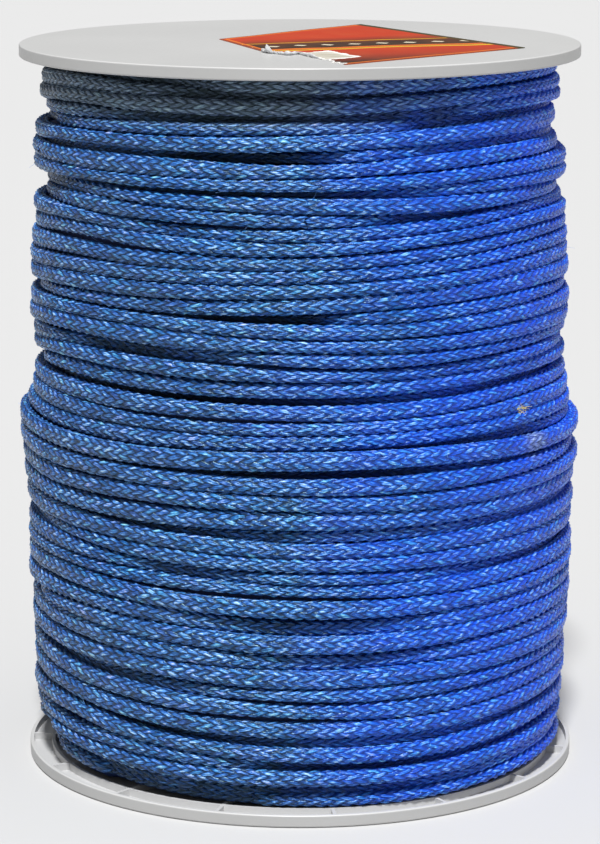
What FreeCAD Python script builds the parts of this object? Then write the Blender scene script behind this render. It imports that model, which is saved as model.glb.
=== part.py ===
"""A spool of blue braided cord: two alike moulded flanges on a paper core tube.

Millimetres, +Z up. The origin is the centre of the bottom flange's outer face,
and the spool stands on that face.
"""

import FreeCAD, Part
import math
import os

Vector = FreeCAD.Vector
UP = Vector(0, 0, 1)
CENTRE = Vector(0, 0, 0)

# Overall size of the spool
flange_diameter = 200.0
spool_height = 260.0

# Flange: a closed outer plate with a rim, two rings and radial ribs on its inner side
plate_thickness = 1.6
rim_height = 4.3
rim_wall = 1.4
rim_round = 0.6
ring_height = 4.2
ring_wall = 1.2
outer_ring_inset = 8.0
rib_count = 15
rib_thickness = 1.2
rib_height = 4.1
first_rib_angle = -83.0

# Flange centre: a hub with the spindle bore, and a collar that the core tube fits over
spindle_bore = 30.0
bore_chamfer = 0.8
hub_wall = 2.4
hub_depth = 24.0
collar_wall = 2.0
collar_depth = 20.0
web_count = 6
web_thickness = 1.6
web_depth = 12.0

# Core tube of wound paper, between the flanges' plates
tube_outer_diameter = 80.0
tube_wall = 3.0
tube_fit = 0.1

# Cord: nominal 6 mm, which measures a little less where it is wound tight
cord_diameter = 5.6
turn_gap = 0.5
cord_clearance = 0.3
most_turns = 24
end_gap = 2.0

# The outermost layer covers the lower half and ends at mid height, where it bulges.
# Above it the layer below shows.
layer_break = 0.5
start_angle = 90.0

# How far the cord's outside lies inside the flange edge, from the bottom up
foot_inset = 7.5
low_inset = 3.6
middle_inset = 1.2
bulge_inset = -1.5
step_inset = 3.0
upper_inset = 2.8
shoulder_inset = 4.6
top_inset = 8.5

# The same as outlines: (share of that part of the winding's height, inset)
lower_shares = (
    (0, foot_inset), (0.1, low_inset), (0.6, middle_inset), (0.88, bulge_inset), (1, bulge_inset),
)
upper_shares = ((0, step_inset), (0.3, upper_inset), (0.7, shoulder_inset), (1, top_inset))

# Strip of tape that holds the cord's end down, at the back
tape_thickness = 0.2
tape_angle = 15.0
tape_length = 34.0
tape_clearance = 0.3

# Printed paper label on the top face, a slanted sheet: its left, far, right and near corners,
# and the torn edge from the near corner back to the left one
label_thickness = 0.2
label_corners = ((-29.0, 8.5), (23.0, 74.0), (78.5, -26.0), (15.5, -88.0))
label_tear = ((10.0, -78.0), (7.5, -69.0), (3.0, -58.0), (-0.5, -49.0), (-4.0, -54.0), (-12.0, -43.0))

# Places that follow from the sizes
flange_radius = flange_diameter / 2
tube_radius = tube_outer_diameter / 2
tube_bore_radius = tube_radius - tube_wall
bore_radius = spindle_bore / 2
hub_radius = bore_radius + hub_wall
collar_radius = tube_bore_radius - tube_fit
socket_bore_radius = tube_radius + tube_fit
socket_radius = socket_bore_radius + ring_wall
outer_ring_radius = flange_radius - outer_ring_inset
middle_ring_radius = (socket_radius + outer_ring_radius) / 2
winding_low = max(rim_height, ring_height, rib_height)
winding_high = spool_height - winding_low
winding_break = winding_low + layer_break * (winding_high - winding_low)

# Two edges or heights that are nearer than this are the same
match_within = 0.0001

# The wound cord's centre line climbs steadily from the lowest turn to the highest
line_low = winding_low + cord_clearance + cord_diameter / 2
line_high = winding_high - cord_clearance - cord_diameter / 2
turn_count = min(2 * most_turns, int((line_high - line_low) / (cord_diameter + turn_gap)))
turn_pitch = (line_high - line_low) / turn_count
lower_turns = round(turn_count * layer_break)
break_height = line_low + lower_turns * turn_pitch


def ring(outer, inner, low, high):
    """A round wall from one radius to another."""
    height = high - low
    base = Vector(0, 0, low)
    wall = Part.makeCylinder(outer, height, base, UP)
    return wall.cut(Part.makeCylinder(inner, height, base, UP))


def spokes(count, first, inner, outer, thickness, low, high):
    """Straight radial walls from one radius to another."""
    walls = []
    for number in range(count):
        corner = Vector(inner, -thickness / 2, low)
        wall = Part.makeBox(outer - inner, thickness, high - low, corner)
        wall.rotate(CENTRE, UP, first + number * 360.0 / count)
        walls.append(wall)
    return walls


def flange():
    """The bottom flange, its closed face at z = 0 and its ribs upward."""
    plate = Part.makeCylinder(flange_radius, plate_thickness)
    rim = ring(flange_radius, flange_radius - rim_wall, 0, rim_height)
    outer_ring = ring(outer_ring_radius, outer_ring_radius - ring_wall, 0, ring_height)
    middle_ring = ring(middle_ring_radius, middle_ring_radius - ring_wall, 0, ring_height)
    socket = ring(socket_radius, socket_bore_radius, 0, ring_height)
    collar = ring(collar_radius, collar_radius - collar_wall, 0, collar_depth)
    hub = ring(hub_radius, bore_radius, 0, hub_depth)
    ribs = spokes(
        rib_count, first_rib_angle, socket_radius - ring_wall / 2,
        flange_radius - rim_wall / 2, rib_thickness, 0, rib_height,
    )
    webs = spokes(
        web_count, first_rib_angle, hub_radius - hub_wall / 2,
        collar_radius - collar_wall / 2, web_thickness, 0, web_depth,
    )
    body = plate.multiFuse([rim, outer_ring, middle_ring, socket, collar, hub] + ribs + webs)
    body = body.cut(Part.makeCylinder(bore_radius, hub_depth))
    body = body.removeSplitter()
    rounded = edges_at(body, flange_radius, 0) + edges_at(body, flange_radius, rim_height)
    largest_round = 0.45 * min(rim_wall, rim_height)
    body = body.makeFillet(min(rim_round, largest_round), rounded)
    return body.makeChamfer(bore_chamfer, edges_at(body, bore_radius, 0))


def edges_at(body, radius, height):
    """The whole round edges about the axis at a radius and height."""
    found = []
    for edge in body.Edges:
        box = edge.BoundBox
        off_height = max(abs(box.ZMin - height), abs(box.ZMax - height))
        off_radius = max(abs(box.XMax - radius), abs(box.XMin + radius))
        if off_height < match_within and off_radius < match_within:
            found.append(edge)
    return found


def other_end(body):
    """The same moulding turned over, for the top of the spool."""
    turned = body.copy()
    turned.rotate(CENTRE, Vector(1, 0, 0), 180)
    turned.translate(Vector(0, 0, spool_height))
    return turned


def core_tube():
    return ring(tube_radius, tube_bore_radius, plate_thickness, spool_height - plate_thickness)


def outline(low, high, shares):
    """The heights and insets of a part of the winding."""
    return [(low + share * (high - low), inset) for share, inset in shares]


lower_outline = outline(winding_low, winding_break, lower_shares)
upper_outline = outline(winding_break, winding_high, upper_shares)


def inset_at(heights, z):
    """How far the cord's outside lies inside the flange edge, read off an outline."""
    for (low, inset_low), (high, inset_high) in zip(heights, heights[1:]):
        if z <= high:
            part = max(0.0, (z - low) / (high - low))
            return inset_low + part * (inset_high - inset_low)
    return heights[-1][1]


def rope_pack():
    """The inner layers as one plain body of revolution round the core tube."""
    depth = cord_diameter + cord_clearance
    low = winding_low + cord_clearance
    high = winding_high - cord_clearance
    step = break_height - cord_diameter / 2 - cord_clearance
    inner = tube_radius + cord_clearance
    points = [Vector(inner, 0, low)]
    for heights, bottom, top in ((lower_outline, low, step), (upper_outline, step, high)):
        for height, inset in heights:
            z = min(max(height, bottom), top)
            points.append(Vector(flange_radius - inset - depth, 0, z))
    points.append(Vector(inner, 0, high))
    face = Part.Face(Part.makePolygon(points + points[:1]))
    return face.revolve(CENTRE, UP, 360)


def biarc(start, start_way, end, end_way):
    """Two arcs that meet smoothly, between two points with a direction at each."""
    span = end.sub(start)
    a = 2 * (1 - start_way.dot(end_way))
    b = 2 * span.dot(start_way.add(end_way))
    c = -span.dot(span)
    reach = (-b + math.sqrt(b * b - 4 * a * c)) / (2 * a)
    first = start + start_way * reach
    second = end - end_way * reach
    joint = (first + second) * 0.5
    arcs = []
    for low, low_way, high in ((start, start_way, joint), (joint, (second - first), end)):
        arcs.append(Part.Arc(low, arc_middle(low, low_way, high), high).toShape())
    return arcs


def arc_middle(low, way, high):
    """The middle point of the arc that leaves low in a direction and ends at high."""
    chord = high.sub(low)
    half = chord * 0.5
    along = Vector(way)
    along.normalize()
    turn = along.getAngle(chord)
    across = chord.cross(along).cross(chord)
    across.normalize()
    return low + half + across * (half.Length * math.tan(turn / 2))


def on_line(turn, heights):
    """The wound cord's centre after so many turns, counted from the lowest."""
    z = line_low + turn * turn_pitch
    radius = flange_radius - inset_at(heights, z) - cord_diameter / 2
    angle = math.radians(start_angle) + turn * 2 * math.pi
    return Vector(radius * math.cos(angle), radius * math.sin(angle), z)


def way_along(turn, heights):
    """The cord's direction there, taken over a short stretch of a turn."""
    stretch = 0.02
    direction = on_line(turn + stretch, heights) - on_line(turn - stretch, heights)
    direction.normalize()
    return direction


def turn_path(first, last, heights):
    """The centre line in quarter turns of two arcs each, with a straight run at each end."""
    count = math.ceil(4 * (last - first))
    numbers = [first + (last - first) * step / count for step in range(count + 1)]
    points = [on_line(turn, heights) for turn in numbers]
    ways = [way_along(turn, heights) for turn in numbers]
    edges = [Part.LineSegment(points[0] - ways[0] * cord_diameter, points[0]).toShape()]
    for here in range(count):
        edges += biarc(points[here], ways[here], points[here + 1], ways[here + 1])
    edges.append(Part.LineSegment(points[-1], points[-1] + ways[-1] * cord_diameter).toShape())
    return edges


def least_gap(edges):
    """The least gap between a wound tube and itself, measured on points of its path."""
    per_arc = 12
    per_turn = per_arc * 8
    points = []
    for edge in edges:
        points += edge.discretize(per_arc + 1)[:-1]
    least = math.inf
    for number, point in enumerate(points):
        for other in points[number + per_turn // 2:number + per_turn * 2]:
            least = min(least, point.distanceToPoint(other))
    return least - cord_diameter


def wound_tube(first, last, heights, name):
    """One unbroken tube that winds over the pack, from one turn to another."""
    edges = turn_path(first, last, heights)
    path = Part.Wire(edges)
    way = edges[0].tangentAt(edges[0].FirstParameter)
    circle = Part.Circle(edges[0].Vertexes[0].Point, way, cord_diameter / 2)
    tube = path.makePipeShell([Part.Wire(circle.toShape())], True, False)
    swept = math.pi * cord_diameter ** 2 / 4 * path.Length
    tightest = min(edge.Curve.Radius for edge in edges[1:-1])
    print(f"{name}: {last - first:.2f} turns, length {path.Length:.0f} mm, tightest radius "
          f"{tightest:.1f} mm, least gap to itself {least_gap(edges):.2f} mm, volume "
          f"{tube.Volume / swept:.4f} of section times length")
    return tube


def end_tape():
    """The strip of tape over the end of the outermost layer, bent round the turns."""
    top = break_height + cord_diameter / 2
    bottom = top - tape_length
    bends = [height for height, _ in lower_outline if bottom < height < top]
    inner = []
    outer = []
    for z in [bottom] + bends + [top]:
        radius = flange_radius - inset_at(lower_outline, z) + tape_clearance
        inner.append(Vector(radius, 0, z))
        outer.append(Vector(radius + tape_thickness, 0, z))
    points = inner + outer[::-1]
    face = Part.Face(Part.makePolygon(points + points[:1]))
    strip = face.revolve(CENTRE, UP, tape_angle)
    strip.rotate(CENTRE, UP, start_angle - tape_angle / 2)
    return strip


def top_label():
    """The label on the top face, with its torn edge."""
    points = [Vector(x, y, spool_height) for x, y in label_corners + label_tear]
    face = Part.Face(Part.makePolygon(points + points[:1]))
    return face.extrude(Vector(0, 0, label_thickness))


def main():
    os.makedirs("parts", exist_ok=True)
    bottom = flange()
    end_share = (2 * cord_diameter + end_gap) / (2 * math.pi * flange_radius)
    pieces = {
        "bottom_flange": bottom,
        "top_flange": other_end(bottom),
        "core_tube": core_tube(),
        "rope_pack": rope_pack(),
        "rope_turns_lower": wound_tube(0, lower_turns, lower_outline, "rope_turns_lower"),
        "rope_turns_upper": wound_tube(
            lower_turns + end_share, turn_count, upper_outline, "rope_turns_upper",
        ),
        "end_tape": end_tape(),
        "top_label": top_label(),
    }
    for name, shape in pieces.items():
        box = shape.BoundBox
        print(f"{name}: solids {len(shape.Solids)}, valid {shape.isValid()}, volume "
              f"{shape.Volume:.0f} mm3, z {box.ZMin:.2f} to {box.ZMax:.2f}")
        shape.exportStep(f"parts/{name}.step")


main()
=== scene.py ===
import math

import bpy
import numpy as np
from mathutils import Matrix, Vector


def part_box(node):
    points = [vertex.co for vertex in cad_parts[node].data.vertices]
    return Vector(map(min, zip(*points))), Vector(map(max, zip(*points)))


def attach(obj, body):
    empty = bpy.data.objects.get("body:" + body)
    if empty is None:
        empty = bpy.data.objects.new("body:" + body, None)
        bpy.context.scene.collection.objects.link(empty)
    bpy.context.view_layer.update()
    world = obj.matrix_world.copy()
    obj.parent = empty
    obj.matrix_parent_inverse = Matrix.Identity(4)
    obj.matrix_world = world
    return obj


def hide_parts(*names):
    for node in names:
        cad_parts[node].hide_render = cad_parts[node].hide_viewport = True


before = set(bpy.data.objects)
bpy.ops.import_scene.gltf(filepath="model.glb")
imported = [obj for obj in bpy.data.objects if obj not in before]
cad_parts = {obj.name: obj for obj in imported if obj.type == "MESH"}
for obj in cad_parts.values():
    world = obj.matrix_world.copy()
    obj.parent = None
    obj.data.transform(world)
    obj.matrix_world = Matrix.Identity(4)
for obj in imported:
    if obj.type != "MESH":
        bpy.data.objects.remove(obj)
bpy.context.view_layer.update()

MM = 0.001

# Sizes read from the frame
flange_radius, _, spool_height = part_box("top_flange")[1]
tube_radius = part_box("core_tube")[1][0]
winding_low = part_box("rope_turns_lower")[0][2]
winding_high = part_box("rope_turns_upper")[1][2]
tape_low, tape_high = [corner[2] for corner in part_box("end_tape")]

# Camera: the photograph's view, level with a point above the spool. The pitch is in degrees
camera_distance = 1176 * MM
camera_height = 362.5 * MM
camera_pitch = 11.58
focal_pixels, picture_height = 3288, 844

# Cord: a braid of so many strands each way, two over and two under
cord_radius = 2.75 * MM
strands_each_way = 10
braid_angle = math.radians(21)
strand_relief = 0.45 * MM
squareness = 2.8
twist_per_turn = 0.9
cell_around = 2 * math.pi * cord_radius / strands_each_way
cell_along = cell_around / math.tan(braid_angle)
rows_per_cell = 4
row_step = cell_along / rows_per_cell
points_round = 2 * strands_each_way
full_round = 2 * points_round

# How turns lie: a turn that shows less than least_plain is sunk between its neighbours
least_plain = 4.3 * MM
all_sunk = 3.2 * MM
least_half_height = 2.15 * MM
most_half_height = 3.3 * MM
sunk_half_height = 2.65 * MM
touching = 5.3 * MM
seam_overlap = 1.04
deepest = 4.7 * MM
deepest_hole = 8.0 * MM
# Painted shade: a turn lying more than dark_below beneath the outline is painted darker, black at
# black_below
dark_below = 1.5 * MM
black_below = 5.5 * MM
height_sway, height_swings = 0.12 * MM, 5
radius_sway, radius_swings = 0.3 * MM, 4

# The layer below: how far its top lies beneath the centre lines of the turns that show
layer_below = 2.1 * MM
layer_step = 1.0 * MM

# Where the seams between the outermost turns run, read from the photograph: each
# row is one seam's height in millimetres at the left side and at five places round the
# front. The right side was read as so much lower than the last of these
READ_AT = (-85, -60, -30, 0, 30, 60)
right_side_at = 85
read_radius = 96 * MM
LOWER_SEAMS = (
    (9.2, 8.4, 7.3, 6.6, 5.3, 7.2), (12.8, 12.2, 10.2, 10, 9, 11.9),
    (17.2, 15, 13.1, 12.9, 12.8, 15.7), (20, 20, 18.7, 18.5, 18.3, 20.5),
    (25.5, 26, 23.8, 20.9, 20.5, 23), (32.8, 33.9, 28.5, 26.6, 26.4, 29.5),
    (35.5, 34.1, 30.8, 29.9, 29.8, 31.5), (42.8, 40.1, 37.3, 36.6, 35.8, 38),
    (50.2, 47.5, 44.8, 42.3, 42.4, 44.5), (51.5, 49.8, 48, 47.6, 48, 48.3),
    (58, 56.5, 55.5, 53.8, 54.5, 55.5), (64.5, 64.3, 61.4, 59.5, 59.8, 61.5),
    (66.8, 69.3, 68.3, 65.8, 66.6, 68), (73.8, 75.3, 74, 71.9, 72.1, 73.5),
    (81, 82.7, 80.8, 79.5, 78, 79), (87, 86.5, 86.1, 84.1, 83.8, 85.3),
    (93.3, 93, 89.2, 88.6, 87.8, 87.5), (96.5, 96.5, 94.9, 93.1, 93.6, 94.5),
    (103.5, 103, 100.7, 98.9, 99.5, 101.2), (104.5, 103.3, 102.1, 103.1, 103.1, 103.5),
    (111.2, 109.5, 109.8, 109.9, 108.5, 110.5), (118.5, 116.3, 116.4, 115.1, 114.5, 116.3),
    (125, 123.3, 122.2, 120.8, 121, 120.9), (125.2, 123.6, 122.6, 123, 123.5, 122.5),
    (131.2, 129.7, 129.4, 130.5, 130.6, 128.3),
)
lower_right_drop = 0.5
# The seams of the layer below, which shows above those turns
UPPER_SEAMS = (
    (131.2, 129.7, 129.4, 130.5, 130.6, 128.3), (131.2, 129.7, 129.4, 130.5, 131, 132.2),
    (136, 135, 135.3, 135.5, 135.9, 137.3), (141.5, 141.3, 140.4, 140.6, 140.6, 143.3),
    (146.5, 148.5, 146.7, 145.9, 146.1, 148.5), (149, 150.3, 148.8, 148.7, 149, 150.5),
    (151.5, 155.7, 154.2, 154, 154, 155.2), (156, 160.8, 160.2, 158.4, 157.9, 159.7),
    (162, 165.2, 162.1, 158.8, 158.2, 160.3), (162.2, 165.5, 164.6, 164.4, 162.8, 164),
    (168, 171.1, 170.9, 168.4, 167.9, 169.5), (174, 175.8, 175.5, 173.3, 173.4, 175.5),
    (174.3, 176, 175.8, 177.1, 178.5, 180), (177.2, 180.3, 180.7, 182.7, 184, 186.5),
    (182.5, 186, 186, 187.3, 189, 192.1), (188.3, 191.7, 191.3, 191.9, 194, 197.2),
    (194.8, 198.5, 196.9, 196.2, 198.7, 201.7), (201, 204.1, 202.3, 200.9, 203, 206.5),
    (207, 208.5, 206.3, 205.9, 207.6, 210.2), (211.5, 214, 212.2, 211.1, 209.8, 210.2),
    (215.7, 217, 216.8, 216.6, 215.4, 215.3), (215.8, 218.3, 218.2, 218.3, 219.3, 220),
    (221.6, 222.4, 222.3, 222.6, 224, 225.5), (227.2, 228, 229.2, 226.6, 229.8, 231),
    (227.3, 230.8, 230.5, 231.7, 233, 234), (233.3, 235.1, 235.9, 237.3, 238, 240.5),
    (238.3, 239, 240.3, 241.3, 241.5, 242.5), (240.6, 243.9, 243.2, 243.3, 245, 246.6),
    (246, 249, 248.8, 248.6, 250, 250.8), (251.5, 254.5, 252.6, 250.3, 250.6, 251.2),
    (256,) * 6,
)
upper_right_drop = 2.0
# Slits where two turns part: height, azimuth and reach in degrees, width in millimetres
SLITS = (
    (237, -10, 25, 0.7), (206.5, -22, 30, 1.5), (198.5, -50, 30, 1.6), (191.6, -60, 25, 1),
    (160.5, -15, 30, 1.2), (140.6, -22, 40, 1.5), (116.6, -50, 25, 1), (109.7, -40, 35, 1),
    (102, -35, 25, 1.2), (99, 8, 28, 1), (80.4, -12, 45, 1.3), (75, -50, 25, 0.9),
    (72.5, -5, 25, 0.8), (42.6, -5, 25, 1), (37.2, -8, 32, 1.7), (25.5, -57, 14, 2.8),
)
# Places where a turn lies in the layer below: the same, with a depth in place of a width
HOLES = (
    (242.3, -18, 32, 2), (229.6, -9, 26, 7), (217.4, -15, 45, 1.6), (175.2, -6, 22, 6.5),
    (147.6, -16, 44, 4.5), (122, 6, 32, 4), (68.5, 0, 34, 3.2), (56.7, 8, 34, 3),
    (29, -25, 30, 1.2), (19.6, 12, 25, 1.5),
    (235.8, -90, 42, 4.6), (213.6, -92, 45, 3.2), (209.2, -92, 45, 4.2), (147.5, -90, 40, 1.2),
    (236, 88, 35, 3.2), (227, 90, 35, 3), (211, 88, 42, 3), (176, 90, 35, 2.2),
    (156, 90, 35, 2.4), (117.5, 90, 35, 3),
)
# How far the cord's outside lies from the axis: (height, radius), in millimetres
LOWER_OUTLINE = (
    (4, 94.5), (14, 96), (29, 97.2), (48, 98), (62, 98.7), (78, 99.3), (92, 99.3),
    (108, 100.4), (117, 101.6), (132, 102.2),
)
UPPER_OUTLINE = (
    (126, 99), (131, 98.5), (138, 97.2), (147, 95.2), (154, 96.2), (169, 97.4), (182, 96.9),
    (192, 96.2), (203, 95.6), (212, 94.9), (222, 95.2), (230, 94.6), (241, 93.6), (256, 91.5),
)
samples_per_turn = 180
turns_per_piece = 4

# How deep the cord dives where a layer starts or ends, and over which share of a turn
lower_dive, upper_dive = 5 * MM, 6 * MM
dive_length = 0.16

# Wear: a rubbed place, a tuft of yellow thread, and one loose filament for so many braid rows
worn_place = (0.0831, -0.0591, 0.1271)
tuft_place = (0.0758, -0.0681, 0.1398)
hair_every = 80
hair_radius = 0.07 * MM
tuft_hair_radius = 1.6 * hair_radius

# Paper label on the top face, in millimetres: its left, far, right and near corners, and the
# torn edge between the left corner and the near one
LABEL_CORNERS = ((-29, 8.5), (23, 74), (78.5, -26), (15.5, -88))
TORN_EDGE = ((-12, -43), (-4, -54), (-0.5, -49), (3, -58), (7.5, -69), (10, -78))
label_length, label_width = 115, 86
label_thickness = 0.2 * MM
# Curled scraps: start and end as shares of the near edge, length in millimetres, curl in radians
SCRAPS = ((0.45, 0.53, 4.5, 2.2), (0.52, 0.66, 2.4, 3.2), (0.65, 0.8, 2, 2.4))

# Strip of clear tape over the cord's outer end, at the back, its angle in degrees
tape_angle = 15
tape_columns, tape_rows = 25, 120
tape_thickness = 0.1 * MM

# Lights: name, azimuth and elevation in degrees, strength, and width in degrees
LIGHTS = (
    ("key_light", -2.5, 60, 4.7, 6),
    ("right_light", 65, 28, 0.75, 120),
    ("left_light", -70, 30, 0.52, 120),
)
studio_brightness = 0.15


def add_object(name, data):
    """A new object in the scene, with its mesh, lamp or camera of the same name."""
    data.name = name
    added = bpy.data.objects.new(name, data)
    bpy.context.scene.collection.objects.link(added)
    return added


def new_object(name, mesh, material):
    """A piece of the object that rides on the spool's one body."""
    mesh.materials.append(material)
    piece = add_object(name, mesh)
    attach(piece, "root")
    return piece


def mesh_from(points, faces, smooth=True):
    """A mesh from an array of points and an array or list of faces."""
    mesh = bpy.data.meshes.new("mesh")
    mesh.vertices.add(len(points))
    mesh.vertices.foreach_set("co", np.asarray(points, np.float32).ravel())
    sizes = np.array([len(face) for face in faces])
    corners = np.hstack(list(faces))
    mesh.loops.add(len(corners))
    mesh.loops.foreach_set("vertex_index", corners.astype(np.int32))
    mesh.polygons.add(len(sizes))
    mesh.polygons.foreach_set("loop_start", (np.cumsum(sizes) - sizes).astype(np.int32))
    mesh.polygons.foreach_set("use_smooth", np.full(len(sizes), smooth))
    mesh.update(calc_edges=True)
    return mesh


def add_uv(mesh, name, uv):
    """A UV map, given for each corner of each face."""
    layer = mesh.uv_layers.new(name=name)
    layer.data.foreach_set("uv", np.asarray(uv, np.float32).ravel())
    return layer


def add_values(mesh, name, domain, values):
    """A number for each point or each face, which a material reads by its name."""
    attribute = mesh.attributes.new(name, "FLOAT", domain)
    attribute.data.foreach_set("value", np.asarray(values, np.float32).ravel())


def every_pair(first, second):
    """All pairs of two lists of numbers, as two flat arrays."""
    return [values.ravel() for values in np.meshgrid(first, second, indexing="ij")]


def unit(vectors):
    """The same directions, one long."""
    return vectors / np.linalg.norm(vectors, axis=-1, keepdims=True)


def round_axis(radius, angle, height):
    """Points round the spool's axis, from their radius, angle and height."""
    return np.stack(np.broadcast_arrays(radius * np.cos(angle), radius * np.sin(angle), height), -1)


def run_along(points):
    """How far along a line each of its points lies."""
    return np.append(0, np.cumsum(np.linalg.norm(np.diff(points, axis=0), axis=1)))


def angle_at(turn):
    """Where the cord is, so many turns after it left the back of the spool."""
    return math.pi / 2 + 2 * math.pi * turn


def grid_faces(rows, columns, closed_rows=False, closed_columns=False):
    """Quads between the points of a grid, which may close on itself either way."""
    r, c = every_pair(np.arange(rows if closed_rows else rows - 1),
                      np.arange(columns if closed_columns else columns - 1))
    r2, c2 = (r + 1) % rows, (c + 1) % columns
    return np.stack([r * columns + c, r * columns + c2, r2 * columns + c2, r2 * columns + c], 1)


def sheet_mesh(top, bottom, sheet_uv=0):
    """A thin closed sheet between two grids of points, with a UV map named sheet."""
    rows, columns = top.shape[:2]
    below = rows * columns
    faces = grid_faces(rows, columns)
    number = np.arange(below).reshape(rows, columns)
    border = np.hstack([number[0, :-1], number[:-1, -1], number[-1, :0:-1], number[:0:-1, 0]])
    after = np.roll(border, -1)
    walls = np.stack([border, after, after + below, border + below], 1)[:, ::-1]
    mesh = mesh_from(np.vstack([top.reshape(-1, 3), bottom.reshape(-1, 3)]),
                     np.vstack([faces, faces[:, ::-1] + below, walls]))
    uv = np.broadcast_to(sheet_uv, (2, rows, columns, 2)).reshape(-1, 2)
    corners = np.zeros(len(mesh.loops), np.int32)
    mesh.loops.foreach_get("vertex_index", corners)
    add_uv(mesh, "sheet", uv[corners])
    return mesh


def hairs_mesh(starts, ways, bends, radius):
    """Thin three-sided hairs, each bent over its length and thinner at its tip."""
    steps, sides, taper = 5, 3, 0.6
    share = np.linspace(0, 1, steps)[:, None]
    middle = starts[:, None] + ways[:, None] * share + bends[:, None] * share ** 2
    side = unit(np.cross(ways, bends))
    other = unit(np.cross(side, ways))
    points = []
    for corner in range(sides):
        angle = 2 * math.pi * corner / sides
        offset = side * math.cos(angle) + other * math.sin(angle)
        points.append(middle + offset[:, None] * radius * (1 - taper * share))
    faces = grid_faces(steps, sides, False, True)
    every = [faces + hair * steps * sides for hair in range(len(starts))]
    return mesh_from(np.stack(points, 2).reshape(-1, 3), np.vstack(every))


def smooth_noise(rng, count, per_wave):
    """Seeded noise of about unit size along a path, one swing for so many samples."""
    knots = rng.standard_normal(int(count / per_wave) + 4)
    places = np.arange(count) / per_wave + 1
    whole = places.astype(int)
    part = places - whole
    ease = part * part * (3 - 2 * part)
    return knots[whole] * (1 - ease) + knots[whole + 1] * ease


def nearest_turn(heights, at, count, place, azimuth):
    """The turn that lies nearest to a height in millimetres at an azimuth, or -1 if none does."""
    apart = np.abs(np.interp(np.arange(count) + 0.5 + azimuth / 360, at, heights) - place * MM)
    return int(np.argmin(apart)) if apart.min() < 2 * cord_radius else -1


def window(at, turn, azimuth, reach):
    """1 at one place on a turn, falling smoothly to 0 so many degrees away."""
    if turn < 0:
        return np.zeros_like(at)
    away = (at - turn - 0.5 - azimuth / 360) * 360 / reach
    return np.clip(1 - away ** 2, 0, 1) ** 2


def lay_turns(seams, right_drop, outline, seed, dive_start=0, dive_end=0):
    """Where the cord's centre line runs: arrays of turn, radius, height, half sizes and the painted
    shade of turns that lie deep.

    At either end the cord may dive into the layer below by so much.
    """
    rng = np.random.default_rng(seed)
    seams = np.array(seams) * MM
    # The drop at the right side fades within three cord radii of either flange
    to_flange = np.minimum(winding_high - seams[:, -1], seams[:, -1] - winding_low)
    right_side = seams[:, -1] - right_drop * MM * np.clip(to_flange / cord_radius / 3, 0, 1)
    seams = np.column_stack([seams, right_side])
    read_at = np.array((*READ_AT, right_side_at))
    count = len(seams) - 1
    at = np.linspace(0, count, count * samples_per_turn + 1)
    read_turns = (np.arange(count)[:, None] + 0.5 + read_at / 360).ravel()
    smooth_over = samples_per_turn // 12

    def along(values):
        return smoothed(np.interp(at, read_turns, values.ravel()), smooth_over)

    low, high = along(seams[:-1]), along(seams[1:])
    for place, azimuth, reach, width in SLITS:
        above = nearest_turn(low, at, count, place, azimuth)
        low += window(at, above, azimuth, reach) * width * MM / 2
        high -= window(at, above - 1, azimuth, reach) * width * MM / 2
    shown = high - low
    sunk = np.clip((least_plain - shown) / (least_plain - all_sunk), 0, 1)
    half_height = np.clip(shown / 2 * seam_overlap, least_half_height, most_half_height)
    half_height += sunk * (sunk_half_height - half_height)
    half_depth = cord_radius ** 2 / half_height
    height = np.maximum((low + high) / 2, high - most_half_height)
    height += height_sway * smooth_noise(rng, len(at), samples_per_turn / height_swings)

    # A sunk turn lies where its neighbours leave it room
    room = np.sqrt(np.clip(touching ** 2 - (shown / 2 + sunk_half_height) ** 2, 0, None))
    outline_z, outline_r = np.array(outline).T * MM
    plain = np.interp(height, outline_z, outline_r)
    outside = plain - np.minimum(sunk * room, deepest)
    for place, azimuth, reach, depth in HOLES:
        turn = nearest_turn(height, at, count, place, azimuth)
        outside -= window(at, turn, azimuth, reach) * depth * MM
    outside = np.maximum(outside, plain - deepest_hole)
    outside += radius_sway * smooth_noise(rng, len(at), samples_per_turn / radius_swings)
    outside -= dive_start * np.clip(1 - at / dive_length, 0, 1) ** 2
    outside -= dive_end * np.clip(1 - (count - at) / dive_length, 0, 1) ** 2
    # The heights were read at one radius, and a sight line falls from there inwards
    facing_camera = np.clip(-np.cos(2 * math.pi * at), 0, 1)
    fall = facing_camera * (camera_height - height) / camera_distance
    height += (outside - read_radius) * fall
    radius = outside - half_depth
    settle(height, radius, half_height, half_depth)
    radius = np.maximum(radius, np.minimum(plain - deepest, outside) - half_depth)
    # Painted shade for turns that lie deep beneath the outline
    shade = np.clip((plain - radius - half_depth - dark_below) / (black_below - dark_below), 0, 1)
    return dict(turn=at, height=height, radius=radius, half_height=half_height,
                half_depth=half_depth, shade=shade)


def settle(height, radius, half_height, half_depth):
    """Lets the deeper of two neighbouring turns give way where they would overlap."""
    rounds, squeeze, pace, smooth_over = 40, 0.9, 0.3, 9
    low, high = slice(0, -samples_per_turn), slice(samples_per_turn, None)
    for _ in range(rounds):
        rise = (height[high] - height[low]) / (half_height[high] + half_height[low])
        reach = (radius[high] - radius[low]) / (half_depth[high] + half_depth[low])
        push = np.clip(squeeze - np.hypot(rise, reach), 0, None) * pace * touching
        change = np.zeros_like(radius)
        change[high] -= push * (reach < 0)
        change[low] -= push * (reach >= 0)
        radius += smoothed(change, smooth_over)


def smoothed(values, width):
    """A running mean along the path."""
    padded = np.pad(values, width // 2, mode="edge")
    return np.convolve(padded, np.ones(width) / width, mode="valid")


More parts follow.
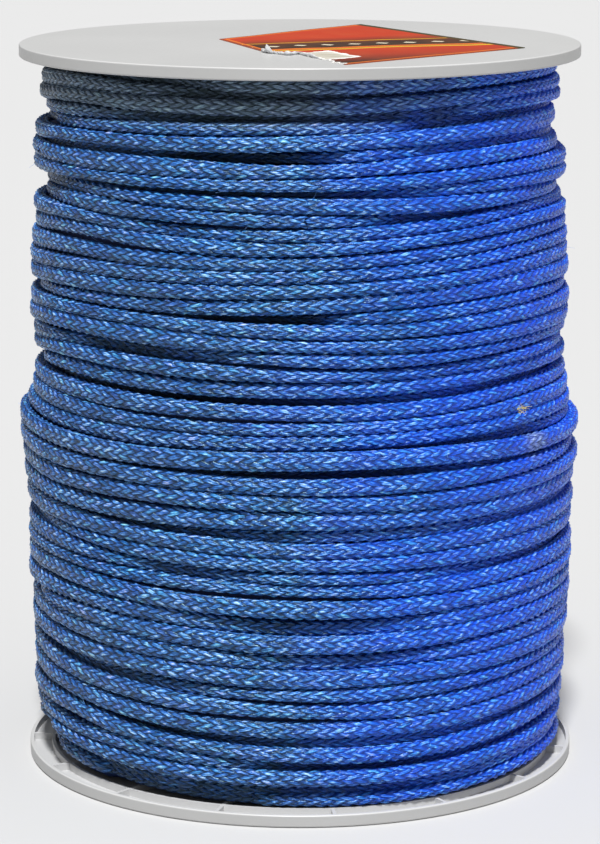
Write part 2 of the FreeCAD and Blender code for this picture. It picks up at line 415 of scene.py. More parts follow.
def route(laid, first):
    """Points, directions and half sizes along the cord, one for each row of the braid."""
    keep = laid["turn"] >= first
    laid = {key: values[keep] for key, values in laid.items()}
    line = round_axis(laid["radius"], angle_at(laid["turn"]), laid["height"])
    along = run_along(line)
    at = np.arange(int(along[-1] / row_step) + 1) * row_step
    path = {key: np.interp(at, along, values) for key, values in laid.items()}
    angle = angle_at(path["turn"])
    centre = round_axis(path["radius"], angle, path["height"])
    way = unit(np.gradient(centre, axis=0))
    outward = round_axis(1, angle, 0)
    outward = unit(outward - way * (outward * way).sum(1)[:, None])
    return {**path, "centre": centre, "way": way, "outward": outward, "up": np.cross(outward, way)}


def hashed(a, b, seed):
    """A steady number from 0 to 1 for each pair of whole numbers."""
    mixed = (a.astype(np.int64) * 73856093) ^ (b.astype(np.int64) * 19349663) ^ (seed * 83492791)
    mixed = (mixed ^ (mixed >> 13)) * 1274126177
    return ((mixed ^ (mixed >> 16)) & 0xFFFF) / 65535.0


def over(p, q):
    """Whether the strand that runs one way lies on top where strands p and q cross."""
    return (p + q) % 4 < 2


def ridge_of(p2, q2):
    """How high the braid stands at a half step of its lattice, from 0 to 1."""
    p, q = p2 // 2, q2 // 2
    on_p, on_q = p2 % 2 == 1, q2 % 2 == 1
    ridge = np.zeros(p2.shape)
    crossing_middle, strand_top, strand_end = 0.88, 1.0, 0.3
    ridge_by_tops = np.array([0, strand_end, strand_top])
    ridge[on_p & on_q] = crossing_middle
    here = on_p & ~on_q
    tops = over(p, q - 1).astype(int) + over(p, q)
    ridge[here] = ridge_by_tops[tops[here]]
    here = ~on_p & on_q
    tops = (~over(p - 1, q)).astype(int) + ~over(p, q)
    ridge[here] = ridge_by_tops[tops[here]]
    return ridge


def braid_points(path, row, around, seed):
    """Points on the braid's surface, from their rows along the cord and their places round it."""
    least_ridge, ridge_spread, stray_reach, slip_reach = 0.65, 0.7, 0.9, 0.7
    ridge = ridge_of((around + row) // 2, (around - row) // 2)
    strand = ((around + row) // 4) % (2 * strands_each_way)
    uneven = least_ridge + ridge_spread * hashed(strand, row // 5, seed + 1)
    stray = stray_reach * (hashed(around, row, seed + 2) - 0.5)
    slip = slip_reach * row_step * (hashed(around, row, seed + 3) - 0.5)
    theta = math.pi + 2 * math.pi * (around + stray) / full_round + twist_per_turn * path["turn"][row]
    lowered = strand_relief * (1 - ridge * uneven)
    across, upward = np.cos(theta), np.sin(theta)
    swell = (np.abs(across) ** squareness + np.abs(upward) ** squareness) ** (-1 / squareness)
    depth = (path["half_depth"][row] - lowered) * swell
    rise = (path["half_height"][row] - lowered) * swell
    return (path["centre"][row] + path["way"][row] * slip[:, None]
            + path["outward"][row] * (depth * across)[:, None]
            + path["up"][row] * (rise * upward)[:, None])


def bake_places(row, around, span):
    """Where faces' corners go in the map for baked looks: strips of cord, one above the other."""
    margin = 0.03
    strips = max(1, round(math.sqrt(span * row_step / (2 * math.pi * cord_radius))))
    rows_in_strip = span / strips
    strip = (row / rows_in_strip).astype(int).clip(0, strips - 1)[:, None]
    corner_row = row[:, None] + (0, 1, 0, -1)
    corner_round = (around[:, None] + points_round) % full_round + (-1, 0, 1, 0)
    u = (corner_row - strip * rows_in_strip + 1) / (rows_in_strip + 3)
    v = (corner_round + 1) / (full_round + 1) * (1 - margin) + margin / 2
    return np.stack([u, (v + strip) / strips], -1).reshape(-1, 2)


def braid_mesh(path, first_row, last_row, seed):
    """A stretch of braided cord, its mesh in line with the strands, closed at both ends."""
    row, place = every_pair(np.arange(first_row, last_row + 1), np.arange(points_round))
    points = braid_points(path, row, row % 2 + 2 * place, seed)
    row, place = every_pair(np.arange(first_row + 1, last_row), np.arange(points_round))
    around = (row + 1) % 2 + 2 * place

    def index(r, j):
        return (r - first_row) * points_round + ((j % full_round) - r % 2) // 2

    faces = np.stack([index(row, around - 1), index(row + 1, around), index(row, around + 1),
                      index(row - 1, around)], 1)
    ring = np.arange(full_round)
    first_ring = index(first_row + ring % 2, ring + first_row % 2)
    last_ring = index(last_row - ring % 2, ring + last_row % 2)
    caps = [len(points) + ring, len(points) + full_round + ring]
    points = np.vstack([points, points[first_ring], points[last_ring[::-1]]])
    mesh = mesh_from(points, list(faces) + caps)

    # Which strand each face is on, and where on it its corners are
    low_p, low_q = (around + row - 1) // 2, (around - row - 1) // 2
    p, q = low_p // 2, low_q // 2
    on_top = over(p, q)
    start = np.where(on_top, q - (p + q) % 4, p - (p + q - 2) % 4)
    tone = hashed(np.where(on_top, p, q) % strands_each_way, start + 7 * on_top, seed)
    corner_p, corner_q = low_p[:, None] + (0, 1, 1, 0), low_q[:, None] + (0, 0, 1, 1)
    across = np.where(on_top[:, None], corner_p / 2 - p[:, None], corner_q / 2 - q[:, None])
    along = np.where(on_top[:, None], corner_q, corner_p) / 2 - start[:, None]
    on_strand = np.stack([across, along], -1).reshape(-1, 2)
    on_bake = bake_places(row - first_row, around, last_row - first_row)
    cap_corners = (2 * full_round, 2)
    strand = add_uv(mesh, "strand", np.vstack([on_strand, np.zeros(cap_corners)]))
    add_uv(mesh, "OFBake", np.vstack([on_bake, np.full(cap_corners, 0.5)]))

    # The painted shade of deep turns, handed to the material
    shade = np.repeat(path["shade"][first_row:last_row + 1], points_round)
    shade = np.hstack([shade, np.repeat(shade[[0, -1]], full_round)])
    add_values(mesh, "shade", "POINT", shade)
    add_values(mesh, "tone", "FACE", np.hstack([tone, 0.5, 0.5]))
    mesh.uv_layers.active = strand
    strand.active_render = True
    return mesh


def make_cord(path, names, node, material, seed):
    """The braided cord along a path, in pieces of a few turns each."""
    rows = len(path["centre"])
    cuts = np.linspace(0, rows - 1, len(names) + 1).astype(int)
    for name, low, high in zip(names, cuts[:-1], cuts[1:]):
        high = min(high + 1, rows - 1)
        piece = new_object(name, braid_mesh(path, low, high, seed), material)
        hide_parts(node)


class Nodes:
    """A material's nodes, added and joined by short calls."""

    def __init__(self, name):
        self.material = bpy.data.materials.new(name)
        self.material.use_nodes = True
        self.tree = self.material.node_tree
        self.shader = self.tree.nodes["Principled BSDF"]

    def add(self, kind, inputs=None, **settings):
        node = self.tree.nodes.new("ShaderNode" + kind)
        for key, value in settings.items():
            setattr(node, key, value)
        for key, value in (inputs or {}).items():
            self.feed(node.inputs[key], value)
        return node

    def feed(self, socket, value):
        """Sets a socket to a number or colour, or joins an output to it."""
        if isinstance(value, bpy.types.NodeSocket):
            self.tree.links.new(value, socket)
        else:
            socket.default_value = value

    def set(self, **inputs):
        """Sets the shader's own sockets. An underscore stands for a space in a socket's name."""
        for key, value in inputs.items():
            self.feed(self.shader.inputs[key.replace("_", " ")], value)

    def attribute(self, name):
        return self.add("Attribute", attribute_name=name).outputs["Fac"]

    def place(self):
        return self.add("TexCoord").outputs["Object"]

    def math(self, operation, a, b=0.0):
        return self.add("Math", {0: a, 1: b}, operation=operation).outputs[0]

    def plus(self, a, b):
        return self.math("ADD", a, b)

    def minus(self, a, b):
        return self.math("SUBTRACT", a, b)

    def times(self, product, *others):
        for value in others:
            product = self.math("MULTIPLY", product, value)
        return product

    def apart(self, a, b):
        """How far two values are from each other."""
        return self.math("ABSOLUTE", self.minus(a, b))

    def remap(self, value, low, high, at_low=0.0, at_high=1.0):
        """Goes from one value to another between two ends, and stays level beyond them."""
        return self.add("MapRange", {"Value": value, "From Min": low, "From Max": high,
                                     "To Min": at_low, "To Max": at_high}).outputs[0]

    def split(self, vector):
        return self.add("SeparateXYZ", {0: vector}).outputs

    def joined(self, *values):
        return self.add("CombineXYZ", dict(enumerate(values))).outputs[0]

    def stretched(self, vector, scale):
        return self.add("VectorMath", {0: vector, 1: scale}, operation="MULTIPLY").outputs[0]

    def distance(self, a, b):
        return self.add("VectorMath", {0: a, 1: b}, operation="DISTANCE").outputs["Value"]

    def facing_up(self):
        """1 on a surface that faces up, 0 on a wall, -1 on an underside."""
        return self.split(self.add("NewGeometry").outputs["Normal"])[2]

    def noise(self, vector, scale, detail, roughness):
        return self.add("TexNoise", {"Vector": vector, "Scale": scale, "Detail": detail,
                                     "Roughness": roughness}).outputs["Fac"]

    def mix(self, part, a, b, blend="MIX"):
        node = self.add("Mix", data_type="RGBA", blend_type=blend)
        for socket, value in zip((node.inputs[0], node.inputs[6], node.inputs[7]), (part, a, b)):
            self.feed(socket, value)
        return node.outputs[2]

    def ramp(self, value, *stops):
        """Goes from stop to stop, each a place and a colour, or one number for a grey."""
        node = self.add("ValToRGB", {"Fac": value})
        stops_made = node.color_ramp.elements
        while len(stops_made) < len(stops):
            stops_made.new(1.0)
        for made, (place, colour) in zip(stops_made, stops):
            made.position = place
            made.color = grey(colour) if np.isscalar(colour) else (*colour[:3], 1)
        return node.outputs["Color"]

    def bump(self, height, distance, strength=1.0):
        node = self.add("Bump", {"Height": height, "Distance": distance, "Strength": strength})
        return node.outputs["Normal"]


def grey(value):
    return (value, value, value, 1)


def two_tone(name, scales, dark, light, detail=3.0, spread=0.7, relief=0.0, **shader):
    """Noise that goes from a dark tone to a light one, each a place in the noise and a colour."""
    n = Nodes(name)
    tone = n.noise(n.stretched(n.place(), scales), 1.0, detail, spread)
    n.set(Base_Color=n.ramp(tone, dark, light), **shader)
    if relief:
        n.set(Normal=n.bump(tone, relief))
    return n.material


def cord_material():
    """Blue polypropylene strands of a few yarns each, with painted highlights on top and painted
    shade in the grooves.
    """
    n = Nodes("braided_blue")
    across, along, _ = n.split(n.add("UVMap", uv_map="strand").outputs["UV"])
    tone = n.attribute("tone")
    strand_number = n.times(tone, 97)
    crown = n.times(across, 4, n.minus(1, across))
    belly = n.times(along, n.minus(2, along))

    # Each strand is a flat band of yarns, twisted so that they lie almost along the cord, and
    # they wander a little from side to side
    yarns, yarn_slant, wander_reach = 1.4, 0.4, 1.3
    wander = n.noise(n.joined(n.times(along, 1.3), strand_number), 1, 1, 0.5)
    slanted = n.plus(across, n.times(along, yarn_slant))
    lane = n.plus(n.times(slanted, yarns), n.times(wander, wander_reach))
    yarn = n.math("FRACT", lane)
    round_yarn = n.times(yarn, 4, n.minus(1, yarn))
    lane_number = n.times(n.math("FLOOR", lane), 7.3)
    flecks = n.noise(n.joined(n.times(along, 1.7), lane_number, strand_number), 1, 2, 0.6)
    painted_glint = n.ramp(flecks, (0.32, 0), (0.68, 1))

    # How pale a place is, mostly painted light: strands and yarns get painted shade at their edges,
    # flecks are painted glints and deep turns are painted darker; tone varies at random. Each value
    # counts by its share, from a least level up
    level = n.times(n.math("POWER", crown, 0.8), n.math("POWER", belly, 0.6))
    for value, share, least in ((round_yarn, 0.5, 0.5), (painted_glint, 0.85, 0.42), (tone, 0.65, 0.58),
                                (n.attribute("shade"), -0.75, 1)):
        level = n.times(level, n.plus(n.times(value, share), least))
    # The ramps run from painted shade in the grooves to painted highlights on the strands' tops
    royal, steel = [n.ramp(level, *zip((0, 0.15, 0.45, 0.75, 1), colours)) for colours in (
        ((0.004, 0.028, 0.32), (0.005, 0.05, 0.58), (0.008, 0.095, 0.82), (0.04, 0.21, 0.88),
         (0.15, 0.36, 0.9)),
        ((0.002, 0.006, 0.02), (0.004, 0.026, 0.12), (0.012, 0.105, 0.42), (0.08, 0.29, 0.72),
         (0.34, 0.56, 0.82)))]

    # The left side of the spool is greyer, in patches: partly faded, and partly painted light, a grey
    # sheen with paler painted highlights and blacker painted shade. Each stretch of strand has its
    # tint
    place = n.place()
    x, _, z = n.split(place)
    patches = n.noise(place, 28, 3, 0.6)
    edge = n.plus(x, n.times(n.minus(patches, 0.5), 150 * MM))
    blue = n.mix(n.remap(edge, -15 * MM, 100 * MM, 1, 0), royal, steel)
    hue = n.math("FRACT", n.times(tone, 13.7))
    tint = n.ramp(hue, (0, (0.72, 1.1, 0.9)), (0.35, (1, 1, 1)), (0.7, (1, 1, 1)),
                  (1, (1.3, 0.88, 1)))
    blue = n.mix(1, blue, tint, "MULTIPLY")
    worn = n.remap(n.distance(place, worn_place), 3 * MM, 9 * MM, 0.5, 0)
    blue = n.mix(worn, blue, n.mix(level, (0.03, 0.05, 0.12, 1), (0.55, 0.66, 0.75, 1)))

    # Dust and painted reflected light grey the turns' undersides on the left, and painted shade,
    # greyed, darkens the turns beneath the top flange
    dust_and_reflection_side = n.remap(x, -95 * MM, 30 * MM, 0.8, 0)
    underside = n.remap(n.facing_up(), -0.8, 0.5, 1, 0.3)
    dust_and_reflection = n.times(n.ramp(patches, (0.32, 0.1), (0.68, 0.85)), dust_and_reflection_side, underside)
    # Painted shade beneath the top flange, on the left and in the middle
    beneath_flange = n.remap(z, 236 * MM, 244 * MM, 0, 0.75)
    beneath_flange = n.times(beneath_flange, n.remap(edge, 0, 60 * MM, 1, 0))
    # The grey that the dust, the painted reflected light and the painted shade turn the blue to
    dust_and_painted_grey = n.mix(level, (0.01, 0.012, 0.012, 1), (0.24, 0.28, 0.3, 1))
    blue = n.mix(n.math("MAXIMUM", dust_and_reflection, beneath_flange), blue, dust_and_painted_grey)

    relief = n.plus(n.times(round_yarn, 0.4), n.times(crown, 0.8))
    relief = n.plus(relief, n.times(flecks, 0.6))
    relief = n.plus(relief, n.times(n.noise(place, 520, 1, 0.5), 0.5))
    n.set(Base_Color=blue, Roughness=0.34, Normal=n.bump(relief, 0.42 * MM), IOR=1.42,
          Specular_IOR_Level=0.8, Specular_Tint=(0.6, 0.95, 1, 1))
    return n.material


def inner_material():
    """The cord's inner layers, seen only in the depth of the grooves, coloured dark navy as painted
    shade.
    """
    return two_tone("inner_blue_painted_shade", (900, 900, 900), (0.3, (0.004, 0.01, 0.05)),
                    (0.8, (0.02, 0.06, 0.25)), relief=0.3 * MM, Roughness=0.7)


def plastic_material():
    """Light grey moulded polystyrene with faint flow marks and scuffs."""
    n = Nodes("flange_plastic")
    place = n.place()
    cloud = n.noise(place, 9, 3, 0.55)
    grain = n.noise(place, 650, 2, 0.6)
    scuffs = n.noise(n.stretched(place, (40, 260, 40)), 1, 4, 0.7)
    colour = n.ramp(cloud, (0.3, (0.475, 0.475, 0.47)), (0.75, (0.525, 0.525, 0.52)))
    marks = n.ramp(scuffs, (0.66, 0), (0.8, 0.25))
    colour = n.mix(marks, colour, (0.36, 0.36, 0.35, 1))

    # Painted shade: the rims' outer walls are darker than the faces that look up. It stops inside
    # the rim, and the bottom flange's inner side is an even grey
    wall_shade_grey, recess_grey = 0.74, 0.5
    off_axis = n.distance(n.stretched(place, (1, 1, 0)), (0, 0, 0))
    inside_rim = n.remap(off_axis, 0.985 * flange_radius, 0.99 * flange_radius, 1, 0)
    standing = n.ramp(n.math("ABSOLUTE", n.facing_up()), (0.3, 1), (0.8, 0))
    painted_wall_shade = n.times(standing, n.minus(1, inside_rim))
    colour = n.mix(painted_wall_shade, colour, n.mix(1, colour, grey(wall_shade_grey), "MULTIPLY"))
    low = n.remap(n.split(place)[2], 20 * MM, 30 * MM, 1, 0)
    colour = n.mix(n.times(inside_rim, low), colour, grey(recess_grey))
    rough = n.ramp(grain, (0.2, 0.32), (0.9, 0.46))
    n.set(Base_Color=colour, Roughness=rough, Normal=n.bump(grain, 0.03 * MM, 0.4))
    return n.material


def paper_material():
    """Grey-brown wound paper of the core tube."""
    return two_tone("core_paper", (900, 900, 120), (0.25, (0.28, 0.2, 0.12)),
                    (0.8, (0.5, 0.38, 0.25)), detail=4.0, relief=0.15 * MM, Roughness=0.85)


def dress_nodes():
    """The moulded flanges and the core tube keep their solids and get their finish."""
    finishes = {"bottom_flange": plastic_material(), "core_tube": paper_material()}
    finishes["top_flange"] = finishes["bottom_flange"]
    for name, material in finishes.items():
        for material_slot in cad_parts[name].material_slots:
            material_slot.material = material


def make_inner_layers(windings):
    """The inner layers as one body, its outside just beneath the turns that show."""
    clearance, hidden = 0.3 * MM, 0.5 * MM
    low, high = winding_low, winding_high
    heights = np.linspace(low, high, round((high - low) / layer_step) + 1)
    outside = np.zeros((len(heights), samples_per_turn))
    for column in range(samples_per_turn):
        z, r = [np.hstack([laid[key][column::samples_per_turn] for laid in windings])
                for key in ("height", "radius")]
        order = np.argsort(z)
        z, r = z[order], r[order]
        groove_z, groove_r = (z[1:] + z[:-1]) / 2, np.minimum(r[1:], r[:-1]) - layer_below
        z = np.hstack([low, np.ravel(np.stack([z[:-1], groove_z], 1)), z[-1], high])
        r = np.hstack([r[0] - layer_below, np.ravel(np.stack([r[:-1] - hidden, groove_r], 1)),
                       r[-1] - hidden, r[-1] - layer_below])
        outside[:, column] = np.interp(heights, z, r)
    rim = np.full(samples_per_turn, tube_radius + clearance)
    height = np.hstack([low, heights, high])
    angle = angle_at(np.arange(samples_per_turn) / samples_per_turn)
    points = round_axis(np.vstack([rim, outside, rim]), angle, height[:, None])
    mesh = mesh_from(points.reshape(-1, 3), grid_faces(len(height), samples_per_turn, True, True))
    piece = new_object("cord_inner_layers", mesh, inner_material())
    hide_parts("rope_pack")


def label_material():
    """Coated paper: an orange-red ground with plain bands, and bare paper where it is torn."""
    n = Nodes("printed_paper")
    along, across, _ = n.split(n.add("UVMap", uv_map="sheet").outputs["UV"])
    place = n.place()
    fibres = n.noise(place, 900, 3, 0.7)
    cloud = n.noise(place, 60, 3, 0.6)

    def stripe(value, middle, half):
        """1 within so many millimetres of a line, 0 beyond it."""
        soft = 0.15
        return n.remap(n.apart(value, middle), half - soft, half + soft, 1, 0)

    # The ground goes from orange-red to brown towards a slanted band
    slanted = n.plus(along, n.times(across, -0.5))
    red, orange = (0.5, 0.036, 0.004, 1), (0.74, 0.17, 0.015, 1)
    yellow, brown = (0.78, 0.46, 0.018, 1), (0.04, 0.016, 0.007, 1)
    ground_start, ground_length = -50, 165
    colour = n.ramp(n.math("DIVIDE", n.minus(slanted, ground_start), ground_length),
                    (0, red), (0.36, red), (0.5, brown), (0.63, brown), (0.66, red),
                    (0.78, (0.4, 0.035, 0.008)), (0.95, brown))
    for middle, half, paint in ((51.5, 2.1, orange), (56.5, 1.6, yellow), (26, 0.7, yellow)):
        colour = n.mix(stripe(slanted, middle, half), colour, paint)

    # Cream diamonds along the band
    beat, reach, band_middle = 11, 2.6, 39
    step = n.minus(n.math("FRACT", n.math("DIVIDE", across, beat)), 0.5)
    off = n.plus(n.math("ABSOLUTE", n.times(step, beat)), n.apart(slanted, band_middle))
    colour = n.mix(n.remap(off, reach, reach + 0.3, 1, 0), colour, (0.72, 0.66, 0.5, 1))

    # Borders: dark at the very edge, then an orange line, olive on the far side
    to_side = n.math("MINIMUM", along, n.minus(label_length, along))
    to_edge = n.math("MINIMUM", n.minus(label_width, across), n.attribute("to_near_edge"))
    to_edge = n.math("MINIMUM", to_side, to_edge)
    colour = n.mix(stripe(to_edge, 2.6, 0.8), colour, orange)
    colour = n.mix(stripe(to_edge, 0, 1.2), colour, (0.3, 0.05, 0.012, 1))
    colour = n.mix(n.remap(across, 82.2, 82.5), colour, (0.05, 0.045, 0.012, 1))
    colour = n.mix(n.ramp(cloud, (0.45, 0), (0.8, 0.16)), colour, (0.6, 0.16, 0.04, 1))

    # Bare paper: a peeled patch with a white rim, and the torn edge
    patch_along, patch_half_length = 84, 13.5
    patch_across, patch_half_width = 6.5, 10.5
    ragged = n.times(n.minus(n.noise(place, 240, 3, 0.6), 0.5), 5)
    off_patch = n.math("MAXIMUM", n.minus(n.apart(along, patch_along), patch_half_length),
                       n.minus(n.apart(across, patch_across), patch_half_width))
    off_patch = n.plus(off_patch, ragged)
    streaks = n.noise(n.stretched(place, (60, 420, 60)), 1, 3, 0.6)
    bare = n.ramp(streaks, (0.35, (0.36, 0.33, 0.26)), (0.65, (0.62, 0.6, 0.54)))
    white = (0.76, 0.75, 0.72, 1)
    bare = n.mix(n.remap(off_patch, -2.4, -1.8), bare, white)
    peeled = n.remap(off_patch, -0.2, 0.1, 1, 0)
    colour = n.mix(peeled, colour, bare)
    torn = n.ramp(n.plus(n.attribute("torn"), n.times(ragged, 0.12)), (0.5, 0), (0.6, 1))
    colour = n.mix(torn, colour, white)
    rough = n.mix(n.math("MAXIMUM", peeled, torn), grey(0.33), grey(0.85))
    n.set(Base_Color=colour, Roughness=rough, Normal=n.bump(fibres, 0.05 * MM, 0.6), IOR=1.3)
    return n.material


def bare_paper_material():
    """The label's pale back, with fibres and a little grime."""
    return two_tone("torn_paper", (700, 700, 700), (0.25, (0.36, 0.37, 0.38)),
                    (0.7, (0.62, 0.62, 0.63)), detail=4.0, relief=0.12 * MM, Roughness=0.9)


def near_edge(share):
    """Points of the label's near edge, from its left corner to its near one, in millimetres."""
    corners = np.array([LABEL_CORNERS[0], *TORN_EDGE, LABEL_CORNERS[3]])
    along = run_along(corners)
    return np.stack([np.interp(share * along[-1], along, values) for values in corners.T], -1)


def label_shares(flat):
    """How far points lie along the label and across it, as shares, found in a few rounds."""
    rounds = 8
    left, far, right, near = np.array(LABEL_CORNERS)

    def cross(a, b):
        return a[..., 0] * b[..., 1] - a[..., 1] * b[..., 0]

    share = np.full(flat.shape, 0.5)
    for _ in range(rounds):
        u, v = share[..., :1], share[..., 1:]
        at = (1 - v) * ((1 - u) * left + u * near) + v * ((1 - u) * far + u * right)
        by_u = (1 - v) * (near - left) + v * (right - far)
        by_v = (1 - u) * (far - left) + u * (right - near)
        off = flat - at
        share += np.stack([cross(off, by_v), cross(by_u, off)], -1) / cross(by_u, by_v)[..., None]
    return share


def on_face(flat, above):
    """Points in metres, so far above the top face, from places in millimetres."""
    return np.concatenate([flat * MM, (spool_height + above)[..., None]], -1)


def make_label():
    """The printed sheet, slightly wavy, lifted along the tear, and its curled scraps."""
    rng = np.random.default_rng(21)
    columns, rows, crowding = 241, 91, 1.7
    share = np.linspace(0, 1, columns)
    torn_from, lifted_to, lift_width, wave_height = 0.42, 0.84, 9, 0.06 * MM
    torn = np.clip(np.minimum(share - torn_from, 1 - share) / 0.02, 0, 1)
    _, far_corner, right_corner, _ = np.array(LABEL_CORNERS)
    far = far_corner + share[:, None] * (right_corner - far_corner)
    near = near_edge(share)
    inward = unit(far - near)
    ragged = smooth_noise(rng, columns, 2.5) + 0.6 * smooth_noise(rng, columns, 9)
    near += inward * (torn * ragged)[:, None]
    depth = np.linspace(0, 1, rows)[:, None, None] ** crowding
    flat = near + (far - near) * depth
    from_edge = np.linalg.norm(flat - near, axis=-1)
    shares = label_shares(flat)
    waves = sum(smooth_noise(rng, columns, 34) * np.sin(shares[..., 1] * swing + swing)
                for swing in (3.0, 7.0, 12.0))
    lifted = torn * np.clip((lifted_to - share) / 0.1, 0, 1) * (
        0.4 + 0.3 * smooth_noise(rng, columns, 14))
    lift = lifted * np.clip(1 - from_edge / lift_width, 0, 1) ** 2
    above = np.abs(waves) * wave_height + np.clip(lift, 0, None) * MM
    mesh = sheet_mesh(on_face(flat, above + label_thickness), on_face(flat, above),
                      shares * (label_length, label_width))
    for name, values in (("torn", torn * np.clip(1 - from_edge / 2, 0, 1)),
                         ("to_near_edge", from_edge + 30 * torn)):
        add_values(mesh, name, "POINT", np.tile(values.ravel(), 2))
    label = new_object("top_label_sheet", mesh, label_material())
    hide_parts("top_label")

    paper = bare_paper_material()
    for number, (start, end, length, curl) in enumerate(SCRAPS, 1):
        make_scrap(f"top_label_scrap_{number}", start, end, length * MM, curl, paper, rng)


def make_scrap(name, start, end, length, curl, material, rng):
    """A scrap of the torn edge that curls up and back, showing its pale side."""
    columns, rows = 41, 15
    flatness, ripple, thickness = 0.8, 0.1 * MM, 0.8 * label_thickness
    flat = near_edge(np.linspace(start, end, columns))
    along = np.gradient(flat, axis=0)
    out = unit(np.stack([along[:, 1], -along[:, 0], np.zeros(columns)], 1))
    taper = np.sin(np.linspace(0, math.pi, columns)) ** 0.7
    reach = length * np.clip(taper * (0.8 + 0.25 * smooth_noise(rng, columns, 4)), 0.05, 1.2)
    share = np.linspace(0, 1, rows)[:, None]
    bend = reach / curl
    outward = bend * np.sin(curl * share)
    upward = bend * (1 - np.cos(curl * share)) * flatness + label_thickness
    up = np.array([0, 0, 1.0])
    top = on_face(flat, np.zeros(columns)) + out * outward[..., None] + up * upward[..., None]
    top[..., 2] += ripple * smooth_noise(rng, columns, 3) * share
    normal = out * np.sin(curl * share)[..., None] - up * np.cos(curl * share)[..., None]
    mesh = sheet_mesh(top, top + normal * thickness)
    scrap = new_object(name, mesh, material)
    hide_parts("top_label")


def tape_material():
    """Clear packing tape: a faint yellowed film with small flat bubbles."""
    return two_tone("clear_tape", (260, 260, 700), (0.4, (0.62, 0.58, 0.46)),
                    (0.75, (0.8, 0.79, 0.74)), spread=0.6, relief=0.04 * MM, Roughness=0.18,
                    Alpha=0.1)


def make_tape(windings):
    """The strip over the cord's outer end, drawn tight from turn to turn."""
    sag_between_turns, sag_around, above_cord = 0.12 / MM, 0.05 / MM, 0.1 * MM
    azimuth = 90 + np.linspace(-tape_angle / 2, tape_angle / 2, tape_columns)
    heights = np.linspace(tape_low, tape_high, tape_rows)
    outside = np.zeros((tape_rows, tape_columns))
    for column, angle in enumerate(azimuth):
        for laid in windings:
            last = laid["turn"][-1]
            at = np.arange(last + 1) + (angle - 90) / 360
            at = at[(at >= 0) & (at <= last)]
            z, r, a, b = [np.interp(at, laid["turn"], laid[key])
                          for key in ("height", "radius", "half_height", "half_depth")]
            off = np.clip(np.abs(heights[:, None] - z) / a, 0, 1)
            surface = np.where(off < 1, r + b * np.sqrt(1 - off ** 2), 0)
            outside[:, column] = np.maximum(outside[:, column], surface.max(1))
    angle = np.radians(azimuth)
    apart = heights[:, None] - heights
    taut = (outside - (sag_between_turns * apart ** 2)[..., None]).max(1)
    apart = (angle[:, None] - angle) * outside.max()
    taut = (taut[:, None] - sag_around * apart ** 2).max(2) + above_cord
    outer, inner = [round_axis(radius, angle, heights[:, None])[:, ::-1]
                    for radius in (taut + tape_thickness, taut)]
    tape = new_object("cord_end_tape", sheet_mesh(outer, inner), tape_material())
    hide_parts("end_tape")


def make_end_seal(path):
    """The cord's cut end, melted into a lumpy blue dome."""
    rng = np.random.default_rng(31)
    rings, sides, bulge, lumpiness, fit = 7, 28, 1.5 * MM, 0.06, 0.97
    centre, way = path["centre"][-1], path["way"][-1]
    outward, up = path["outward"][-1], path["up"][-1]
    tilt = np.linspace(0, math.pi / 2, rings)
    angle = np.linspace(0, 2 * math.pi, sides, endpoint=False)
    lumps = 1 + lumpiness * rng.standard_normal((rings, sides))
    size = np.cos(tilt)[:, None] * lumps * fit
    points = (centre + way * (np.sin(tilt) * bulge)[:, None, None]
              + outward * (size * np.cos(angle) * path["half_depth"][-1])[..., None]
              + up * (size * np.sin(angle) * path["half_height"][-1])[..., None])
    faces = list(grid_faces(rings, sides, False, True)) + [np.arange(sides)[::-1]]
    melted = two_tone("melted_blue", (1400, 1400, 1400), (0.3, (0.002, 0.01, 0.06)),
                      (0.75, (0.02, 0.09, 0.4)), detail=2.0, spread=0.6, relief=0.2 * MM,
                      Roughness=0.22)
    mesh = mesh_from(points.reshape(-1, 3), faces)
    new_object("cord_end_melted", mesh, melted)


def make_hairs(paths):
    """Broken filaments that stand off the cord, and a tuft of yellow thread."""
    rng = np.random.default_rng(41)
    clear_ends, rooted, bent = 60, 0.4 * MM, 0.35
    starts, ways, bends = [], [], []
    for path in paths:
        rows = len(path["centre"])
        for row in rng.integers(clear_ends, rows - clear_ends, rows // hair_every):
            angle = rng.uniform(-1.5, 1.5)
            outward = path["outward"][row] * math.cos(angle)
            upward = path["up"][row] * math.sin(angle)
            side = outward + upward
            start = (path["centre"][row] + outward * path["half_depth"][row]
                     + upward * path["half_height"][row] - side * rooted)
            length = rng.uniform(1.2, 3.6) * MM
            way = side * rng.uniform(0.35, 0.9) + path["way"][row] * rng.choice((-1, 1))
            starts.append(start)
            ways.append(unit(way) * length)
            bends.append(rng.standard_normal(3) * length * bent)
    blue = two_tone("loose_filaments", (80, 80, 80), (0.3, (0.02, 0.12, 0.5)),
                    (0.7, (0.25, 0.5, 0.95)), detail=2.0, spread=0.5, Roughness=0.4)
    mesh = hairs_mesh(np.array(starts), np.array(ways), np.array(bends), hair_radius)
    new_object("loose_filaments", mesh, blue)
    make_tuft(rng)


def make_tuft(rng):
    """Short yellow thread caught between two turns."""
    count, spread, flatness, bent = 22, 1.0 * MM, 0.6, 0.7 * MM
    out = np.array([tuft_place[0], tuft_place[1], 0]) / math.hypot(*tuft_place[:2])
    side = np.cross([0, 0, 1.0], out)
    starts = np.array(tuft_place) + spread * (
        rng.standard_normal((count, 1)) * side
        + rng.standard_normal((count, 1)) * np.array([0, 0, flatness]))
    ways = (side * rng.choice((-1, 1), (count, 1)) + out * 0.5
            + 0.5 * rng.standard_normal((count, 3))) * rng.uniform(0.8, 2.0, (count, 1)) * MM
    bends = rng.standard_normal((count, 3)) * bent
    yellow = two_tone("yellow_thread", (900, 900, 900), (0.3, (0.5, 0.34, 0.03)),
                      (0.7, (0.85, 0.75, 0.2)), detail=2.0, spread=0.5, Roughness=0.5)
    mesh = hairs_mesh(starts, ways, bends, tuft_hair_radius)
    new_object("caught_yellow_thread", mesh, yellow)


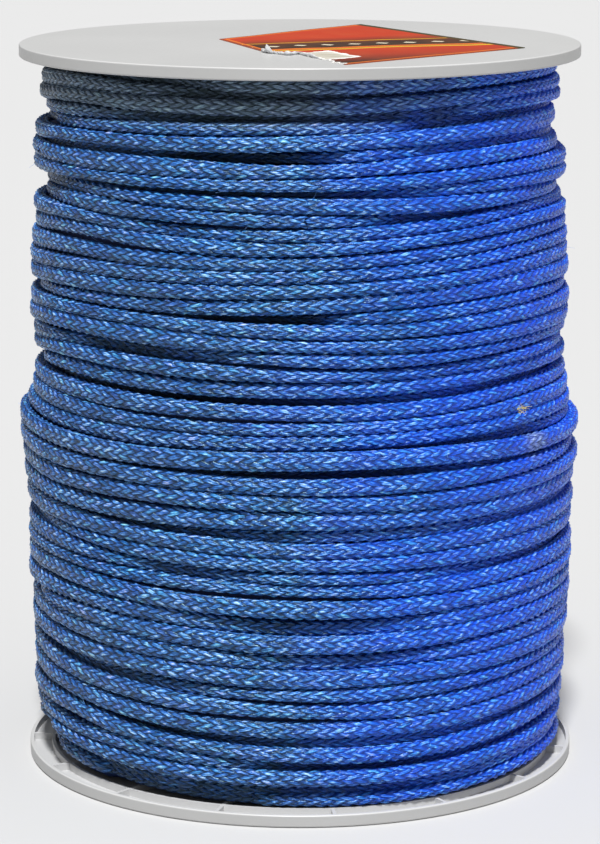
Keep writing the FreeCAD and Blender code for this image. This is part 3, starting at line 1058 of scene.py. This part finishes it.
def make_winding():
    """The cord: its outermost turns, the layers beneath them, its taped end and its hairs."""
    material = cord_material()
    upper_starts = 0.03
    lower = lay_turns(LOWER_SEAMS, lower_right_drop, LOWER_OUTLINE, 3, dive_start=lower_dive)
    upper = lay_turns(UPPER_SEAMS, upper_right_drop, UPPER_OUTLINE, 8, dive_end=upper_dive)
    lower_path, upper_path = route(lower, 0), route(upper, upper_starts)
    lower_pieces, upper_pieces = [round((len(seams) - 1) / turns_per_piece)
                                  for seams in (LOWER_SEAMS, UPPER_SEAMS)]
    names = [f"cord_turns_{number:02d}" for number in range(1, lower_pieces + upper_pieces + 1)]
    make_cord(lower_path, names[:lower_pieces], "rope_turns_lower", material, 11)
    make_cord(upper_path, names[lower_pieces:], "rope_turns_upper", material, 12)
    make_inner_layers((lower, upper))
    make_tape((lower, upper))
    make_end_seal(lower_path)
    make_hairs((lower_path, upper_path))


def make_stage():
    """A plain pale floor."""
    half, floor_grey = 30.0, 0.508
    corners = [(-half, -half, 0), (half, -half, 0), (half, half, 0), (-half, half, 0)]
    mesh = mesh_from(np.array(corners), [np.arange(4)], smooth=False)
    n = Nodes("pale_floor")
    n.set(Base_Color=grey(floor_grey), Roughness=0.9)
    mesh.materials.append(n.material)
    floor = add_object("floor", mesh)
    floor.location.z = -0.2 * MM


def make_light(name, azimuth, elevation, strength, width):
    """A far, soft light. Azimuth 0 comes from the front, and 90 from the right."""
    light = bpy.data.lights.new(name, "SUN")
    light.energy = strength
    light.angle = math.radians(width)
    lamp = add_object(name, light)
    lamp.rotation_euler = (math.radians(90 - elevation), 0, math.radians(azimuth))


def make_world():
    """An even dim studio all round."""
    world = bpy.data.worlds.new("studio")
    world.use_nodes = True
    background = world.node_tree.nodes["Background"]
    background.inputs["Color"].default_value = grey(1)
    background.inputs["Strength"].default_value = studio_brightness
    bpy.context.scene.world = world


def make_camera():
    """The photograph's view."""
    camera = bpy.data.cameras.new("camera")
    camera.sensor_width = 36.0
    camera.lens = camera.sensor_width * focal_pixels / picture_height
    camera.clip_start, camera.clip_end = 0.05, 100.0
    viewer = add_object("camera", camera)
    viewer.location = (0, -camera_distance, camera_height)
    viewer.rotation_euler = (math.radians(90 - camera_pitch), 0, 0)
    bpy.context.scene.camera = viewer


dress_nodes()
make_winding()
make_label()
make_stage()
for light_facts in LIGHTS:
    make_light(*light_facts)
make_world()
make_camera()
bpy.context.scene.view_settings.view_transform = "Standard"
